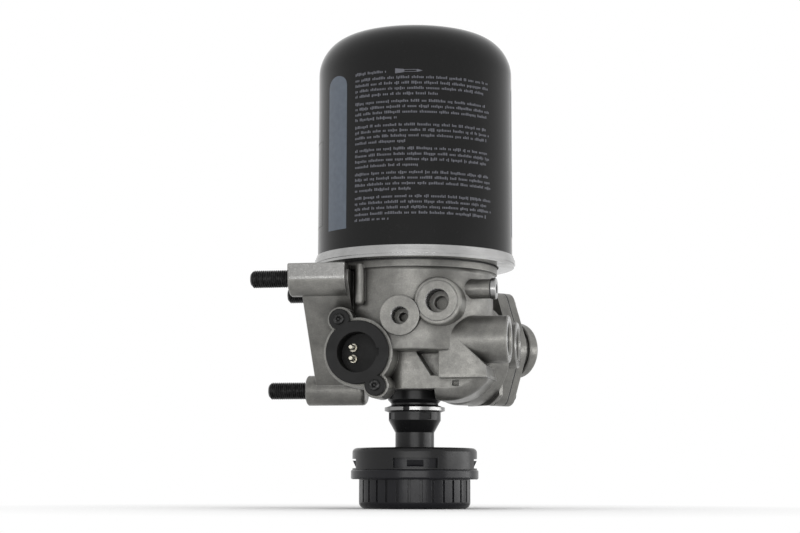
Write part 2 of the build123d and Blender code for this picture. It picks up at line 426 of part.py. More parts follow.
def housing():
    """The aluminium casting, with all its bores and passages."""
    body = cast_barrel() + cast_bracket() + cast_front() + cast_right()
    body -= Pos(0, 0, TOP_Z - CHANNEL_DEPTH) * ring(CHANNEL_OUTER, CHANNEL_INNER, CHANNEL_DEPTH)
    thread = chamfer(rod(THREAD_RADIUS, THREAD_HEIGHT).edges().group_by(Axis.Z)[-1], CAST_EDGE)
    body += Pos(0, 0, TOP_Z) * thread
    body -= Pos(0, 0, THREAD_TOP_Z) * bore(CHECK_BORE, CHECK_FLOOR_DEPTH)
    clip_groove = rod(CHECK_BORE + SNAP_DEPTH, CHECK_CLIP_HEIGHT + 2 * SPRING_GAP)
    body -= Pos(0, 0, CHECK_SEAT_Z + CHECK_SEAT_HEIGHT - SPRING_GAP) * clip_groove
    body -= Pos(0, 0, FOOT_Z) * rod(SPIGOT_RADIUS + LOCATING_CLEARANCE, SPIGOT_LENGTH)
    body -= Pos(0, 0, FOOT_Z) * rod(PISTON_RADIUS + RUNNING_CLEARANCE, PURGE_BORE_TOP)

    stud_hole = bore(STUD_RADIUS + LOCATING_CLEARANCE / 2, STUD_GRIP)
    for x, y in STUD_CENTRES:
        body -= MOUNT * Pos(x, y, 0) * stud_hole
    seat = PLUG_BODY_LENGTH + HEATER_HEAD_HEIGHT
    radius = PLUG_BODY_RADIUS + LOCATING_CLEARANCE
    socket = bore(radius, seat) + bore(radius + PLUG_SEAL_SECTION + PLUG_SEAL_ROOM, PLUG_SEAL_SECTION)
    socket += Pos(0, 0, -seat) * bore(HEATER_RADIUS + LOCATING_CLEARANCE, HEATER_LENGTH + HOLE_SPARE)
    for x, y in EAR_CENTRES:
        socket += Pos(x, y, 0) * bore(EAR_SCREW_RADIUS + LOCATING_CLEARANCE, EAR_SCREW_LENGTH + HOLE_SPARE)
    body -= PLUG * socket

    for x, z, radius, depth, drill in (PORT_A, PORT_B):
        hole = bore(radius, depth) + Pos(0, 0, -depth) * bore(drill, DRILL_LENGTH)
        body -= FRONT(x, z, FRONT_PORT_Y) * hole
    for y, z, x in (PORT_FRONT, PORT_REAR):
        mouth = Pos(0, 0, -PORT_CHAMFER) * Cone(PORT_BORE, PORT_BORE + PORT_CHAMFER, PORT_CHAMFER, align=BASE)
        hole = bore(PORT_BORE, PORT_DEPTH) + mouth
        hole += Pos(0, 0, -PORT_DEPTH) * bore(PORT_DRILL_RADIUS, DRILL_LENGTH)
        body -= RIGHT(y, z, x) * hole

    passage = bore(GOVERNOR_BORE, GOVERNOR_BORE_DEPTH)
    passage += Pos(0, 0, -GOVERNOR_BORE_DEPTH) * bore(GOVERNOR_DRILL, DRILL_LENGTH)
    for x, y in LUG_CENTRES:
        passage += Pos(x, y, 0) * bore(COVER_SCREW_RADIUS + LOCATING_CLEARANCE, COVER_SCREW_GRIP + HOLE_SPARE)
    body -= GOVERNOR * passage
    side = RIGHT(SIDE_PLUG_Y, SIDE_PLUG_Z, SIDE_BOSS_END_X)
    body -= side * bore(SIDE_PLUG_SHANK + LOCATING_CLEARANCE, SIDE_PLUG_GRIP + HOLE_SPARE)
    return body


def mounting_studs():
    """Three studs that bolt the dryer to the vehicle's frame, each relieved where it leaves the boss."""
    stud = Pos(0, 0, -STUD_GRIP) * rod(STUD_RADIUS, STUD_GRIP + STUD_REACH)
    stud = chamfer(stud.edges().group_by(Axis.Z)[-1], STUD_CHAMFER)
    relief = ring(STUD_RADIUS, STUD_RADIUS - STUD_RELIEF_DEPTH, STUD_RELIEF_INSIDE + STUD_RELIEF_OUTSIDE)
    stud -= Pos(0, 0, -STUD_RELIEF_INSIDE) * relief
    return [MOUNT * Pos(x, y, 0) * stud for x, y in STUD_CENTRES]


def silencer_body():
    """Disc with skirt, neck and collar, moulded in one piece and open below."""
    inner = SKIRT_RADIUS - SKIRT_WALL
    nozzle = NOZZLE_RADIUS + LOCATING_CLEARANCE
    duct = NECK_RADIUS - NECK_WALL
    shelf = THROAT_Z - NOZZLE_LENGTH
    face = outline(
        (inner, SKIRT_Z), (SKIRT_RADIUS, SKIRT_Z), (SKIRT_RADIUS, DISC_Z), (NECK_RADIUS, DISC_Z),
        (NECK_RADIUS, TAPER_Z), (COLLAR_RADIUS, COLLAR_Z), (COLLAR_RADIUS, CLIP_Z - LIP_SLOPE),
        (LIP_RADIUS, CLIP_Z), (LIP_RADIUS - CLIP_WALL + CLIP_PROUD, CLIP_Z),
        (LIP_RADIUS - CLIP_WALL + CLIP_PROUD, CLIP_Z + CLIP_HEIGHT), (LIP_RADIUS, CLIP_Z + CLIP_HEIGHT),
        (THROAT_RADIUS, THROAT_Z), (nozzle, THROAT_Z), (nozzle, shelf), (duct, shelf),
        (duct, DISC_Z - SKIRT_TOP), (inner, DISC_Z - SKIRT_TOP))
    face = soften(face, [(SKIRT_RADIUS, DISC_Z)], SKIRT_CORNER)
    body = turned(face)
    sill = SKIRT_Z + WINDOW_SILL
    window = Pos(0, 0, sill) * sector(SKIRT_RADIUS + 1, inner - 1, WINDOW_HEIGHT, WINDOW_SPAN)
    for i in range(WINDOW_COUNT):
        body -= Rot(0, 0, WINDOW_FACING + 360 * i / WINDOW_COUNT) * window
    pocket = Box(2 * COLLAR_WINDOW_DEPTH, COLLAR_WINDOW_WIDTH, COLLAR_WINDOW_HEIGHT, align=BASE)
    pocket = Pos(0, 0, COLLAR_Z + (COLLAR_HEIGHT - COLLAR_WINDOW_HEIGHT) / 2) * pocket
    for piece in around(COLLAR_WINDOW_COUNT, COLLAR_RADIUS, pocket, WINDOW_FACING + COLLAR_WINDOW_TURN):
        body -= piece
    return body


def sector(outer, inner, height, span):
    """Part of a ring, centred on +X, as wide as the span in degrees."""
    edge = 2 * outer
    half = radians(span / 2)
    wedge = outline((0, 0), (edge * cos(half), -edge * sin(half)), (edge * cos(half), edge * sin(half)))
    return ring(outer, inner, height) & extrude(wedge, height)


def silencer_cap():
    """Ribbed cup with the glossy band, the upright rim and its four latches."""
    hollow = CUP_RADIUS - CUP_WALL
    rim_inner = RIM_RADIUS - RIM_WALL
    face = outline(
        (0, 0), (CUP_RADIUS, 0), (CUP_RADIUS, BAND_Z), (BAND_RADIUS, BAND_Z), (BAND_RADIUS, SKIRT_Z),
        (RIM_RADIUS, SKIRT_Z), (RIM_RADIUS, SKIRT_Z + RIM_HEIGHT), (rim_inner, SKIRT_Z + RIM_HEIGHT),
        (rim_inner, BAND_Z), (hollow, BAND_Z), (hollow, CUP_FLOOR), (0, CUP_FLOOR))
    face = soften(face, [(CUP_RADIUS, 0)], CUP_CORNER)
    face = soften(face, [(BAND_RADIUS, BAND_Z), (BAND_RADIUS, SKIRT_Z)], BAND_EDGE)
    cap = turned(face)
    groove = Box(2 * GROOVE_DEPTH, GROOVE_WIDTH, BAND_Z - CUP_CORNER - GROOVE_STOP, align=BASE)
    groove = Pos(0, 0, CUP_CORNER) * groove
    for piece in around(GROOVE_COUNT, CUP_RADIUS, groove, WINDOW_FACING + GROOVE_TURN):
        cap -= piece
    slot = extrude(SlotOverall(SLOT_LENGTH, SLOT_WIDTH), CUP_FLOOR)
    for piece in around(SLOT_COUNT, SLOT_CIRCLE, slot):
        cap -= piece
    latch = outline((-RIM_WALL / 2, 0), (0, 0), (LATCH_REACH, LATCH_HEIGHT), (-RIM_WALL / 2, LATCH_HEIGHT))
    latch = Plane.XZ * Pos(0, 0, -LATCH_WIDTH / 2) * extrude(latch, LATCH_WIDTH)
    latch = Pos(0, 0, SKIRT_Z + WINDOW_SILL + LATCH_RISE) * latch
    for piece in around(WINDOW_COUNT, RIM_RADIUS, latch, WINDOW_FACING):
        cap += piece
    return cap


def build_silencer():
    keep("silencer_body", silencer_body())
    keep("silencer_cap", silencer_cap())
    clip_outer = LIP_RADIUS + CLIP_PROUD
    clip = ring(clip_outer, clip_outer - CLIP_WALL + LOCATING_CLEARANCE, CLIP_HEIGHT)
    opening = Pos(clip_outer, 0, 0) * Box(4 * CLIP_WALL, CLIP_OPENING, CLIP_HEIGHT, align=BASE)
    clip -= Rot(0, 0, WINDOW_FACING + CLIP_TURN) * opening
    keep("silencer_clip", Pos(0, 0, CLIP_Z) * clip)
    seal_z = THROAT_Z - NOZZLE_LENGTH / 2
    keep("silencer_seal", Pos(0, 0, seal_z) * ring(NOZZLE_RADIUS, NOZZLE_RADIUS - SNAP_DEPTH, SEAL_HEIGHT))
    packing = rod(CUP_RADIUS - CUP_WALL - LOCATING_CLEARANCE, BAND_Z - CUP_FLOOR)
    keep("silencer_packing", Pos(0, 0, CUP_FLOOR) * packing)
    baffle = rod(RIM_RADIUS - RIM_WALL - LOCATING_CLEARANCE, BAFFLE_THICKNESS)
    for piece in around(BAFFLE_HOLE_COUNT, BAFFLE_CIRCLE, rod(BAFFLE_HOLE, BAFFLE_THICKNESS)):
        baffle -= piece
    keep("silencer_baffle", Pos(0, 0, BAND_Z) * baffle)


def build_purge_valve():
    """Adapter with its seat, and the piston that pushes the valve plate down from it."""
    nozzle_z = THROAT_Z - NOZZLE_LENGTH
    face = outline(
        (NOZZLE_BORE, nozzle_z), (NOZZLE_RADIUS, nozzle_z), (NOZZLE_RADIUS, THROAT_Z),
        (THROAT_RADIUS, THROAT_Z), (THROAT_RADIUS, THROAT_Z + THROAT_HEIGHT), (ADAPTER_RADIUS, ADAPTER_Z),
        (ADAPTER_RADIUS, FOOT_Z), (SPIGOT_RADIUS, FOOT_Z), (SPIGOT_RADIUS, PURGE_BORE_Z),
        (PISTON_RADIUS, PURGE_BORE_Z), (PISTON_RADIUS, SEAT_Z + SEAT_THICKNESS),
        (SEAT_HOLE, SEAT_Z + SEAT_THICKNESS), (SEAT_HOLE, SEAT_Z),
        (NOZZLE_BORE, SEAT_Z))
    adapter = turned(face)
    seal_z = THROAT_Z - NOZZLE_LENGTH / 2
    adapter -= Pos(0, 0, seal_z) * ring(NOZZLE_RADIUS, NOZZLE_RADIUS - SNAP_DEPTH, SEAL_HEIGHT)
    o_ring_z = FOOT_Z + (SPIGOT_LENGTH - SEAL_HEIGHT) / 2
    o_ring = Pos(0, 0, o_ring_z) * ring(SPIGOT_RADIUS, SPIGOT_RADIUS - SNAP_DEPTH, SEAL_HEIGHT)
    keep("purge_adapter", adapter - o_ring)
    keep("adapter_o_ring", o_ring)

    seal_top = SEAT_Z - SHUT_GAP
    seal_bottom = seal_top - VALVE_SEAL_HEIGHT
    plate_bottom = seal_bottom - VALVE_PLATE_HEIGHT
    piston = Pos(0, 0, PISTON_Z) * rod(PISTON_RADIUS, PISTON_HEIGHT)
    groove_z = PISTON_Z + (PISTON_HEIGHT - PISTON_GROOVE) / 2
    groove = ring(PISTON_RADIUS, PISTON_RADIUS - PISTON_GROOVE_DEPTH, PISTON_GROOVE)
    piston -= Pos(0, 0, groove_z) * groove
    piston += Pos(0, 0, plate_bottom) * rod(STEM_RADIUS, PISTON_Z - plate_bottom)
    piston += Pos(0, 0, seal_top) * rod(STEM_RADIUS + STEM_SHOULDER, PISTON_Z - seal_top)
    thread = PURGE_NUT_HEIGHT + STEM_THREAD_PROUD
    piston += Pos(0, 0, plate_bottom - thread) * rod(STEM_THREAD_RADIUS, thread)
    keep("purge_piston", piston)
    keep("piston_o_ring", Pos(0, 0, groove_z) * groove)
    hole = STEM_RADIUS + LOCATING_CLEARANCE / 2
    keep("purge_seal", Pos(0, 0, seal_bottom) * ring(VALVE_SEAL_RADIUS, hole, VALVE_SEAL_HEIGHT))
    plate = ring(VALVE_PLATE_RADIUS, hole, VALVE_PLATE_HEIGHT)
    plate = chamfer(plate.edges().group_by(Axis.Z)[0].sort_by(SortBy.LENGTH)[-1], VALVE_EDGE)
    keep("purge_valve_plate", Pos(0, 0, plate_bottom) * plate)
    nut = hexagon(PURGE_NUT_FLATS, PURGE_NUT_HEIGHT)
    nut -= rod(STEM_THREAD_RADIUS + NUT_CLEARANCE, PURGE_NUT_HEIGHT)
    keep("purge_valve_nut", Pos(0, 0, plate_bottom - PURGE_NUT_HEIGHT) * nut)
    seat_top = SEAT_Z + SEAT_THICKNESS
    spring = coil(PURGE_SPRING_RADIUS, PURGE_WIRE, PISTON_Z - seat_top, PURGE_COIL_COUNT)
    keep("purge_spring", Pos(0, 0, seat_top) * spring)


def build_heater():
    """Plug moulding, its pins, screws and seal, and the heating rod behind it."""
    def bevelled(radius):
        disc = rod(radius, PLUG_FLANGE_THICKNESS)
        return chamfer(disc.edges().group_by(Axis.Z)[-1], PLUG_EDGE)

    flange = bevelled(PLUG_FLANGE_RADIUS)
    for x, y in EAR_CENTRES:
        flange += Pos(x, y, 0) * bevelled(EAR_RADIUS)
    plug = flange + bore(PLUG_BODY_RADIUS, PLUG_BODY_LENGTH)
    plug -= Pos(0, 0, PLUG_FLANGE_THICKNESS) * bore(SOCKET_RADIUS, SOCKET_DEPTH)
    key = Box(2 * KEY_DEPTH, KEY_WIDTH, KEY_LENGTH, align=(Align.CENTER, Align.CENTER, Align.MAX))
    plug -= Pos(SOCKET_RADIUS, 0, PLUG_FLANGE_THICKNESS) * key
    for x, y in EAR_CENTRES:
        plug -= Pos(x, y, 0) * rod(EAR_SCREW_RADIUS + LOCATING_CLEARANCE, PLUG_FLANGE_THICKNESS)
    floor = PLUG_FLANGE_THICKNESS - SOCKET_DEPTH
    pin_centres = [(PIN_OFFSET, PIN_SPACING / 2), (PIN_OFFSET, -PIN_SPACING / 2)]
    for x, y in pin_centres:
        plug -= Pos(x, y, -PLUG_BODY_LENGTH) * rod(PIN_RADIUS + LOCATING_CLEARANCE / 2, PLUG_BODY_LENGTH)
    keep("heater_plug", PLUG * plug)

    pin = rod(PIN_BASE_RADIUS, PIN_BASE_HEIGHT) + rod(PIN_RADIUS, PIN_HEIGHT)
    pin = chamfer(pin.edges().group_by(Axis.Z)[-1], PIN_TIP)
    pin += bore(PIN_RADIUS, PLUG_BODY_LENGTH + floor)
    keep("contact_pins", *[PLUG * Pos(x, y, floor) * pin for x, y in pin_centres])
    screw = rod(EAR_HEAD_RADIUS, EAR_HEAD_HEIGHT)
    screw = fillet(screw.edges().group_by(Axis.Z)[-1], EAR_HEAD_ROUND)
    screw += bore(EAR_SCREW_RADIUS, PLUG_FLANGE_THICKNESS + EAR_SCREW_LENGTH)
    keep("plug_screws", *[PLUG * Pos(x, y, PLUG_FLANGE_THICKNESS) * screw for x, y in EAR_CENTRES])
    inner = PLUG_BODY_RADIUS + LOCATING_CLEARANCE
    seal = Pos(0, 0, -PLUG_SEAL_SECTION) * ring(inner + PLUG_SEAL_SECTION, inner, PLUG_SEAL_SECTION)
    keep("plug_seal", PLUG * seal)
    heater = bore(HEATER_HEAD_RADIUS, HEATER_HEAD_HEIGHT)
    heater += bore(HEATER_RADIUS, HEATER_HEAD_HEIGHT + HEATER_LENGTH)
    keep("heater_element", PLUG * Pos(0, 0, -PLUG_BODY_LENGTH) * heater)


def build_governor():
    """Pressure governor: gasket, cover, piston, spring and its adjusting screw."""
    def lugged(height):
        face = (strap(LUG_CENTRES[0], LUG_RADIUS, (0, 0), PAD_RADIUS)
                + strap((0, 0), PAD_RADIUS, LUG_CENTRES[1], LUG_RADIUS))
        plate = extrude(face, height)
        for x, y in LUG_CENTRES:
            plate -= Pos(x, y, 0) * rod(COVER_SCREW_RADIUS + LOCATING_CLEARANCE, height)
        return plate

    keep("governor_gasket", GOVERNOR * (lugged(GASKET_THICKNESS) - rod(SPRING_CHAMBER, GASKET_THICKNESS)))
    flange_top = GASKET_THICKNESS + COVER_FLANGE
    neck_top = flange_top + COVER_NECK
    cover_top = neck_top + COVER_DEPTH
    cap = rod(COVER_RADIUS, COVER_DEPTH)
    cap = fillet(cap.edges().group_by(Axis.Z)[-1], COVER_ROUND)
    cap = chamfer(cap.edges().group_by(Axis.Z)[0], COVER_EDGE)
    cover = Pos(0, 0, GASKET_THICKNESS) * lugged(COVER_FLANGE)
    cover += Pos(0, 0, flange_top) * rod(COVER_NECK_RADIUS, COVER_NECK) + Pos(0, 0, neck_top) * cap
    chamber = cover_top - COVER_WALL - GASKET_THICKNESS
    cover -= Pos(0, 0, GASKET_THICKNESS) * rod(SPRING_CHAMBER, chamber)
    cover -= Pos(0, 0, cover_top) * bore(ADJUSTER_RADIUS + LOCATING_CLEARANCE, COVER_WALL)
    keep("governor_cover", GOVERNOR * cover)

    screw = rod(COVER_HEAD_RADIUS, COVER_HEAD_HEIGHT)
    screw -= Pos(0, 0, COVER_HEAD_HEIGHT) * bore(COVER_RECESS_RADIUS, COVER_RECESS_DEPTH)
    screw += bore(COVER_SCREW_RADIUS, flange_top + COVER_SCREW_GRIP)
    keep("governor_screws", *[GOVERNOR * Pos(x, y, flange_top) * screw for x, y in LUG_CENTRES])
    piston = bore(GOVERNOR_BORE - RUNNING_CLEARANCE, GOVERNOR_PISTON_LENGTH)
    piston -= bore(GOVERNOR_SPRING_RADIUS + GOVERNOR_WIRE + PISTON_CUP_GAP, PISTON_CUP_DEPTH)
    keep("governor_piston", GOVERNOR * piston)
    seat_top = cover_top - COVER_WALL
    seat_z = seat_top - SPRING_SEAT_THICKNESS
    keep("spring_seat", GOVERNOR * Pos(0, 0, seat_z) * rod(SPRING_SEAT_RADIUS, SPRING_SEAT_THICKNESS))
    spring = coil(GOVERNOR_SPRING_RADIUS, GOVERNOR_WIRE, seat_z + PISTON_CUP_DEPTH, GOVERNOR_COIL_COUNT)
    keep("governor_spring", GOVERNOR * Pos(0, 0, -PISTON_CUP_DEPTH) * spring)
    length = COVER_WALL + LOCK_NUT_HEIGHT + ADJUSTER_PROUD
    adjuster = rod(ADJUSTER_RADIUS, length)
    slot = Box(2 * ADJUSTER_RADIUS, ADJUSTER_SLOT_WIDTH, ADJUSTER_SLOT_DEPTH, align=BASE)
    adjuster -= Pos(0, 0, length - ADJUSTER_SLOT_DEPTH) * slot
    keep("adjusting_screw", GOVERNOR * Pos(0, 0, seat_top) * adjuster)
    nut = hexagon(LOCK_NUT_FLATS, LOCK_NUT_HEIGHT)
    nut -= rod(ADJUSTER_RADIUS + LOCATING_CLEARANCE, LOCK_NUT_HEIGHT)
    keep("lock_nut", GOVERNOR * Pos(0, 0, cover_top) * nut)


def build_side_plug():
    side = RIGHT(SIDE_PLUG_Y, SIDE_PLUG_Z, SIDE_BOSS_END_X)
    washer = ring(SIDE_BOSS_RADIUS, SIDE_PLUG_SHANK + LOCATING_CLEARANCE, SIDE_SEAL_THICKNESS)
    keep("side_plug_seal", side * washer)
    head = rod(SIDE_PLUG_HEAD, SIDE_PLUG_THICKNESS)
    head = chamfer(head.edges().group_by(Axis.Z)[-1], SIDE_PLUG_EDGE)
    head -= Pos(0, 0, SIDE_PLUG_THICKNESS - SIDE_PLUG_RECESS) * hexagon(SIDE_PLUG_FLATS, SIDE_PLUG_RECESS)
    plug = head + bore(SIDE_PLUG_SHANK, SIDE_SEAL_THICKNESS + SIDE_PLUG_GRIP)
    keep("side_plug", side * Pos(0, 0, SIDE_SEAL_THICKNESS) * plug)


def build_check_valve():
    """Non-return valve in the spigot: guide, disc on a stem, spring, seat and snap ring."""
    guide = rod(CHECK_BORE - LOCATING_CLEARANCE / 2, CHECK_GUIDE_HEIGHT)
    guide += rod(CHECK_GUIDE_HUB, CHECK_GUIDE_HEIGHT + CHECK_GUIDE_HUB_HEIGHT)
    guide -= rod(CHECK_STEM_RADIUS + RUNNING_CLEARANCE, CHECK_GUIDE_HEIGHT + CHECK_GUIDE_HUB_HEIGHT)
    keep("check_valve_guide", Pos(0, 0, CHECK_FLOOR_Z) * guide)
    disc_z = CHECK_SEAT_Z - SHUT_GAP - CHECK_DISC_HEIGHT
    disc = rod(CHECK_DISC_RADIUS, CHECK_DISC_HEIGHT)
    disc = chamfer(disc.edges().group_by(Axis.Z)[0], VALVE_EDGE)
    disc += bore(CHECK_STEM_RADIUS, CHECK_STEM_LENGTH)
    keep("check_valve_disc", Pos(0, 0, disc_z) * disc)
    spring_z = CHECK_FLOOR_Z + CHECK_GUIDE_HEIGHT
    spring = coil(CHECK_SPRING_RADIUS, CHECK_WIRE, disc_z - spring_z, CHECK_COIL_COUNT)
    keep("check_valve_spring", Pos(0, 0, spring_z) * spring)
    seat = ring(CHECK_BORE - LOCATING_CLEARANCE / 2, CHECK_SEAT_HOLE, CHECK_SEAT_HEIGHT)
    keep("check_valve_seat", Pos(0, 0, CHECK_SEAT_Z) * seat)
    clip = ring(CHECK_BORE + SNAP_DEPTH - LOCATING_CLEARANCE, CHECK_CLIP_INNER, CHECK_CLIP_HEIGHT)
    clip -= Pos(CHECK_BORE, 0, 0) * Box(CHECK_BORE, CHECK_CLIP_GAP, CHECK_CLIP_HEIGHT, align=BASE)
    keep("check_valve_clip", Pos(0, 0, CHECK_SEAT_Z + CHECK_SEAT_HEIGHT) * clip)


def can_outline(radius, top, shoulder, crown, bottom):
    """Half section of the drawn can: straight side, round shoulder, shallow crown."""
    corner = (radius, top - crown)
    bend = (radius * CROWN_BEND, top - crown * CROWN_DROP)
    face = outline((0, bottom), (radius, bottom), corner, bend, (0, top))
    return soften(face, [corner], shoulder)


def build_cartridge():
    """Drawn can, rolled seam, base plate, gaskets, desiccant basket and its contents."""
    shell = turned(can_outline(CAN_RADIUS, CAN_TOP_Z, CAN_SHOULDER, CAN_CROWN, PLATE_Z))
    inside = turned(can_outline(CAN_RADIUS - CAN_WALL, CAN_TOP_Z - CAN_WALL, CAN_SHOULDER - CAN_WALL,
                                CAN_CROWN, PLATE_Z))
    keep("cartridge_can", shell - inside)

    seam_z = TOP_Z + SEAM_LOWER
    points = [(SEAM_INNER, seam_z)]
    level = seam_z
    for reach, height in SEAM_STEPS:
        points += [(CAN_RADIUS + reach, level), (CAN_RADIUS + reach, level + height)]
        level += height
    rim = CAN_RADIUS + LOCATING_CLEARANCE / 2
    points += [(rim, level), (rim, PLATE_Z), (SEAM_INNER, PLATE_Z)]
    keep("cartridge_seam", turned(outline(*points)))

    plate = rod(CAN_RADIUS - CAN_WALL - LOCATING_CLEARANCE, BASE_PLATE)
    plate -= rod(THREAD_RADIUS + LOCATING_CLEARANCE, BASE_PLATE)
    for piece in around(INLET_COUNT, INLET_CIRCLE, rod(INLET_HOLE, BASE_PLATE)):
        plate -= piece
    keep("cartridge_base_plate", Pos(0, 0, PLATE_Z) * plate)
    keep("cartridge_gasket", Pos(0, 0, TOP_Z) * ring(GASKET_OUTER, GASKET_INNER, GASKET_HEIGHT))
    keep("hub_seal", Pos(0, 0, TOP_Z) * ring(HUB_SEAL_OUTER, HUB_SEAL_INNER, GASKET_HEIGHT))

    inner = BASKET_RADIUS - BASKET_WALL
    basket = rod(BASKET_RADIUS, BASKET_HEIGHT) - Pos(0, 0, BASKET_WALL) * rod(inner, BASKET_HEIGHT)
    hub = ring(BASKET_HUB_RADIUS, BASKET_HUB_RADIUS - BASKET_HUB_WALL, BASKET_RISE)
    basket += Pos(0, 0, -BASKET_RISE) * hub
    for piece in around(BASKET_HOLE_COUNT, BASKET_CIRCLE, rod(BASKET_HOLE, BASKET_WALL)):
        basket -= piece
    keep("desiccant_basket", Pos(0, 0, BASKET_Z) * basket)
    charge_z = BASKET_Z + BASKET_WALL
    charge_height = BASKET_HEIGHT - BASKET_WALL - CHARGE_HEADROOM
    charge = rod(inner - LOCATING_CLEARANCE, charge_height)
    keep("desiccant_charge", Pos(0, 0, charge_z) * charge)
    plate_z = charge_z + charge_height
    press = rod(inner - LOCATING_CLEARANCE, PRESSURE_PLATE)
    for piece in around(PLATE_HOLE_COUNT, PLATE_CIRCLE, rod(PLATE_HOLE, PRESSURE_PLATE)):
        press -= piece
    keep("pressure_plate", Pos(0, 0, plate_z) * press)
    spring_z = plate_z + PRESSURE_PLATE
    crown_drop = CAN_CROWN * CROWN_DROP * TOP_SPRING_RADIUS / (CAN_RADIUS * CROWN_BEND)
    head = CAN_TOP_Z - CAN_WALL - crown_drop - spring_z - TOP_SPRING_GAP
    keep("top_spring", Pos(0, 0, spring_z) * coil(TOP_SPRING_RADIUS, TOP_WIRE, head, TOP_COIL_COUNT))
    fibre = ring(CAN_RADIUS - CAN_WALL - FILTER_GAP, BASKET_RADIUS + FILTER_GAP, FILTER_HEIGHT)
    keep("oil_filter", Pos(0, 0, PLATE_Z + BASE_PLATE) * fibre)


def main():
    keep("housing", housing())
    keep("mounting_studs", *mounting_studs())
    build_silencer()
    build_purge_valve()
    build_heater()
    build_governor()
    build_side_plug()
    build_check_valve()
    build_cartridge()
    os.makedirs("parts", exist_ok=True)
    for name, solids in NODES.items():
        shape = solids[0] if len(solids) == 1 else Compound(children=list(solids))
        export_step(shape, f"parts/{name}.step")
    print(len(NODES), "nodes")


main()
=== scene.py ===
import json
import random
from math import cos, pi, radians, sin, sqrt, tau

import bpy
from mathutils import Matrix, Vector

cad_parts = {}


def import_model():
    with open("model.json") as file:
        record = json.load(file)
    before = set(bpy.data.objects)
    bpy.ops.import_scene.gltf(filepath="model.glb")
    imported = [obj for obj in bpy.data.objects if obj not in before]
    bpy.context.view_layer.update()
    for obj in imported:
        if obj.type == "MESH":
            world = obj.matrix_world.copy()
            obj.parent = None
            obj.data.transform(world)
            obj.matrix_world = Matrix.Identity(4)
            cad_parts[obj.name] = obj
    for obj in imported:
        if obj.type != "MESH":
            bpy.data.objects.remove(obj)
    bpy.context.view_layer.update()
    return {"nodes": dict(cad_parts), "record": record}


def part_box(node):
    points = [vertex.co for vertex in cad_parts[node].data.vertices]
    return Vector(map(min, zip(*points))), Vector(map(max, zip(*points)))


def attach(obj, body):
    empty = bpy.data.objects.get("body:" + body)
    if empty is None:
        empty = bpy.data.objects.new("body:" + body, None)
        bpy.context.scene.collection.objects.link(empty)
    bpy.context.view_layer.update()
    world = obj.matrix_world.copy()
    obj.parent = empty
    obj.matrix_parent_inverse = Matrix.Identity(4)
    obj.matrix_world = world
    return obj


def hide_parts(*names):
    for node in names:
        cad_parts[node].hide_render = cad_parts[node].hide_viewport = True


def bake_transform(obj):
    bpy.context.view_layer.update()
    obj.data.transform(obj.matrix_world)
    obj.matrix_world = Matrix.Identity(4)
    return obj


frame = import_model()
scene = bpy.context.scene
MM = 0.001
BODY = "dryer"
MOUNTS = {mount["name"]: mount for mount in frame["record"]["mounts"]}

# Threads: pitch, depth of the groove, steps along one turn and around it
PITCH, THREAD_DEPTH, STEPS_PER_TURN, THREAD_SIDES = 1.5 * MM, 0.75 * MM, 10, 64
STUD_RADIUS, STUD_HIDDEN, STUD_RELIEF = 6.0 * MM, 4.0 * MM, 1.4 * MM
STUD_TIP, STUD_TRIM = 1.8 * MM, 0.2 * MM
PORT_THREAD_DEPTH, PORT_THREAD_WALL, PORT_LEAD, LEAD_TURNS = 0.3 * MM, 0.03 * MM, 0.8 * MM, 1.2
PORTS = ("small_port_left", "small_port_right", "large_port_front", "large_port_rear")

# Screw heads: radius, height, rounding and radius of the star recess
PLUG_HEAD = (3.7 * MM, 2.2 * MM, 1.0 * MM, 1.5 * MM)
SCREW_SIDES, ROUND_STEPS, SCREW_FOOT = 96, 6, 0.2
STAR_LOBES, STAR_DEPTH_SHARE, STAR_WAVE = 6, 0.6, 0.14
STAR_MOUTH, STAR_TAPER, STAR_POINT = 1.12, 0.97, 0.3
STAR_CHAMFER, STAR_CONE = 0.15 * MM, 0.25 * MM

# Springs, and the body that presses each
SPRINGS = (("purge_spring", "purge_valve"), ("check_valve_spring", "check_valve"),
           ("governor_spring", "governor"))

# Print on the can, placed by angle from +X and by height
PRINT_LIFT, PRINT_SINK = 0.05 * MM, 0.02 * MM
STRIPE_WIDTH, STRIPE_FOOT, STRIPE_TOP, STRIPE_ROUND = 17.2, 187.5 * MM, 294.0 * MM, 7.5 * MM
STRIPE_STARTS = (-139.8, 1.0)
STRIPE_COLUMNS = 28
TEXT_LEFT, TEXT_RIGHT, TEXT_TOP = -116.0, -29.5, 291.0 * MM
HEADER_RIGHT, BAR_LEFT, BAR_RIGHT, BAR_HALF = -96.5, -91.0, -75.5, 0.85 * MM
LINE_PITCH, PARAGRAPH_GAP = 3.7 * MM, 1.35 * MM
PARAGRAPHS = (4, 4, 4, 4, 4, 5)
MARK_WIDTH, MARK_GAP, WORD_GAP = 0.8 * MM, 0.42 * MM, 1.3 * MM
LOW_MARK, HIGH_MARK = 1.3 * MM, 1.85 * MM
SIGN_LINE, SIGN_HEAD, SIGN_POINT, SIGN_STEPS = 0.35 * MM, 5.0, 3.0, 12
SIGN_RISE = 0.9 * MM
PANEL_LEFT, PANEL_RIGHT, PANEL_LINE = -212.0, -149.5, 0.5 * MM
PANEL_FOOT, PANEL_TOP = 193.0 * MM, 253.0 * MM

# Milled faces: the rims of the large ports lie past this x, and a milled disc past the gasket's rim
MILLED_X, MILLED_RIM, MILLED_SKIN = 69.9 * MM, 1.2 * MM, 0.15 * MM

